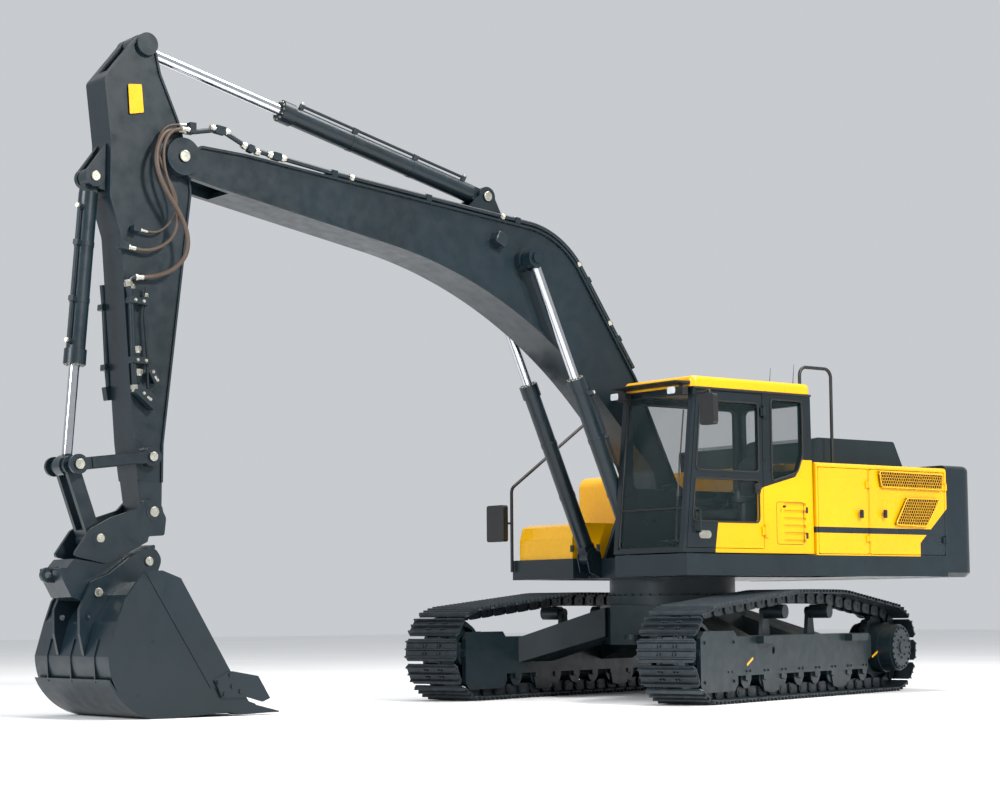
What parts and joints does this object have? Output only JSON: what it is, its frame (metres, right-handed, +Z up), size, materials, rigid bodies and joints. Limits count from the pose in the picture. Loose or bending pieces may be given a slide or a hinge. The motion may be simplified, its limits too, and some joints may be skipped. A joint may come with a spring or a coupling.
{
  "type": "crawler excavator",
  "caption": "Tracked hydraulic excavator with a swinging cab, boom, arm and quick-coupled digging bucket.",
  "frame": {"origin": "on the ground under the slewing axis", "axes": "+X forward along the boom, +Y to the cab side, +Z up"},
  "size_m": [10.228, 4.5711, 5.8885],
  "materials": {
    "slate_paint": "satin",
    "yellow_paint": "gloss",
    "cab_paint": "satin",
    "track_steel": "matte",
    "chrome": "polished",
    "zinc": "satin",
    "glass": "clear",
    "black_plastic": "matte",
    "hose_rubber": "matte",
    "seat_cloth": "woven",
    "engine_iron": "matte"
  },
  "bodies": {
    "undercarriage": {"center_frame": "slate_paint", "swing_bearing": "track_steel", "track_frame_left": "slate_paint", "track_frame_right": "slate_paint", "track_left": "track_steel", "track_right": "track_steel", "idler_left": "slate_paint", "idler_right": "slate_paint", "sprocket_left": "slate_paint", "sprocket_right": "slate_paint"},
    "house": {"deck": "slate_paint", "lift_brackets": "slate_paint", "counterweight": "slate_paint", "engine": "engine_iron", "house_body": "yellow_paint", "tanks": "yellow_paint", "tool_box": "yellow_paint", "cab_frame": "cab_paint", "cab_roof": "yellow_paint", "cab_lamps": "black_plastic", "cab_glass": "glass", "seat": "seat_cloth", "handrails": "black_plastic"},
    "boom": {"boom": "slate_paint", "boom_pipes": "zinc", "hose_feed": "hose_rubber", "hose_return": "hose_rubber", "hose_pilot": "hose_rubber"},
    "lift_tubes": {"lift_cylinder_tube": "slate_paint"},
    "lift_rods": {"lift_cylinder_rod": "chrome"},
    "arm_tube": {"arm_cylinder_tube": "slate_paint"},
    "arm_rod": {"arm_cylinder_rod": "chrome"},
    "arm": {"arm": "slate_paint", "arm_pipes": "slate_paint"},
    "curl_tube": {"curl_cylinder_tube": "slate_paint"},
    "curl_rod": {"curl_cylinder_rod": "chrome"},
    "guide_links": {"guide_links": "slate_paint"},
    "bucket_link": {"bucket_link": "slate_paint"},
    "bucket": {"quick_coupler": "slate_paint", "bucket": "slate_paint"},
    "cab_door": {"cab_door": "yellow_paint", "cab_door_glass": "glass"},
    "service_door_front": {"service_door_front": "yellow_paint"},
    "service_door_rear": {"service_door_rear": "yellow_paint"},
    "service_door_right": {"service_door_right": "yellow_paint"},
    "hood": {"hood": "slate_paint"},
    "tool_box_lid": {"tool_box_lid": "yellow_paint"}
  },
  "joints": [
    {"name": "swing", "type": "hinge", "parent": "undercarriage", "child": "house", "pos_m": [0, 0, 1.1], "axis": [0, 0, 1], "continuous": true},
    {"name": "boom_lift", "type": "hinge", "parent": "house", "child": "boom", "pos_m": [0.25, 0, 1.98], "axis": [0, -1, 0], "range_deg": [-69, 38]},
    {"name": "arm_swing", "type": "hinge", "parent": "boom", "child": "arm", "pos_m": [5.883, 0, 4.817], "axis": [0, -1, 0], "range_deg": [-30, 84], "deforming": ["hose_feed", "hose_return", "hose_pilot"]},
    {"name": "bucket_curl", "type": "hinge", "parent": "arm", "child": "bucket", "pos_m": [6.118, 0, 1.727], "axis": [0, -1, 0], "range_deg": [-105, 65]},
    {"name": "cab_door_hinge", "type": "hinge", "parent": "house", "child": "cab_door", "pos_m": [0.112, 1.482, 2.2], "axis": [0, 0, 1], "range_deg": [0, 165]},
    {"name": "service_door_front_hinge", "type": "hinge", "parent": "house", "child": "service_door_front", "pos_m": [-1.328, 1.509, 1.8], "axis": [0, 0, 1], "range_deg": [0, 110]},
    {"name": "service_door_rear_hinge", "type": "hinge", "parent": "house", "child": "service_door_rear", "pos_m": [-2.484, 1.509, 1.8], "axis": [0, 0, 1], "range_deg": [0, 110]},
    {"name": "service_door_right_hinge", "type": "hinge", "parent": "house", "child": "service_door_right", "pos_m": [-2.484, -1.509, 1.8], "axis": [0, 0, -1], "range_deg": [0, 110]},
    {"name": "hood_hinge", "type": "hinge", "parent": "house", "child": "hood", "pos_m": [-0.82, 0, 2.331], "axis": [0, 1, 0], "range_deg": [0, 60]},
    {"name": "tool_box_lid_hinge", "type": "hinge", "parent": "house", "child": "tool_box_lid", "pos_m": [0.24, 0, 1.62], "axis": [0, -1, 0], "range_deg": [0, 80]},
    {"name": "lift_cylinder_swing", "type": "hinge", "parent": "house", "child": "lift_tubes", "pos_m": [0.8, 0, 1.4], "axis": [0, -1, 0], "range_deg": [-68.17, 37.55]},
    {"name": "arm_cylinder_swing", "type": "hinge", "parent": "boom", "child": "arm_tube", "pos_m": [2.45, 0, 4.86], "axis": [0, -1, 0], "range_deg": [-0.68, 1.88]},
    {"name": "curl_cylinder_swing", "type": "hinge", "parent": "arm", "child": "curl_tube", "pos_m": [6.659, 0, 4.579], "axis": [0, -1, 0], "range_deg": [-6.68, 4.14]},
    {"name": "guide_link_swing", "type": "hinge", "parent": "arm", "child": "guide_links", "pos_m": [6.159, 0, 2.194], "axis": [0, -1, 0], "range_deg": [-75.81, 46.93]},
    {"name": "bucket_link_swing", "type": "hinge", "parent": "bucket", "child": "bucket_link", "pos_m": [6.627, 0, 1.495], "axis": [0, -1, 0], "range_deg": [-40.48, 65.38]},
    {"name": "lift_rod_slide", "type": "slide", "parent": "lift_tubes", "child": "lift_rods", "axis": [0.4118, 0, 0.9113], "range_m": [-0.8611, 0.4745]},
    {"name": "arm_rod_slide", "type": "slide", "parent": "arm_tube", "child": "arm_rod", "axis": [0.9716, 0, 0.2368], "range_m": [-1.3388, 0.4785]},
    {"name": "curl_rod_slide", "type": "slide", "parent": "curl_tube", "child": "curl_rod", "axis": [0.0779, 0, -0.997], "range_m": [-0.4918, 0.7941]}
  ],
  "couplings": [
    {"joint": "lift_cylinder_swing", "follows": "boom_lift", "ratio": 0.9879},
    {"joint": "arm_cylinder_swing", "follows": "arm_swing", "ratio": 0.0223},
    {"joint": "curl_cylinder_swing", "follows": "bucket_curl", "ratio": 0.0635},
    {"joint": "guide_link_swing", "follows": "bucket_curl", "ratio": 0.7219},
    {"joint": "bucket_link_swing", "follows": "bucket_curl", "ratio": -0.6226},
    {"joint": "lift_rod_slide", "follows": "boom_lift", "m_per_rad": 0.71465},
    {"joint": "arm_rod_slide", "follows": "arm_swing", "m_per_rad": -0.91284},
    {"joint": "curl_rod_slide", "follows": "bucket_curl", "m_per_rad": -0.43307}
  ]
}
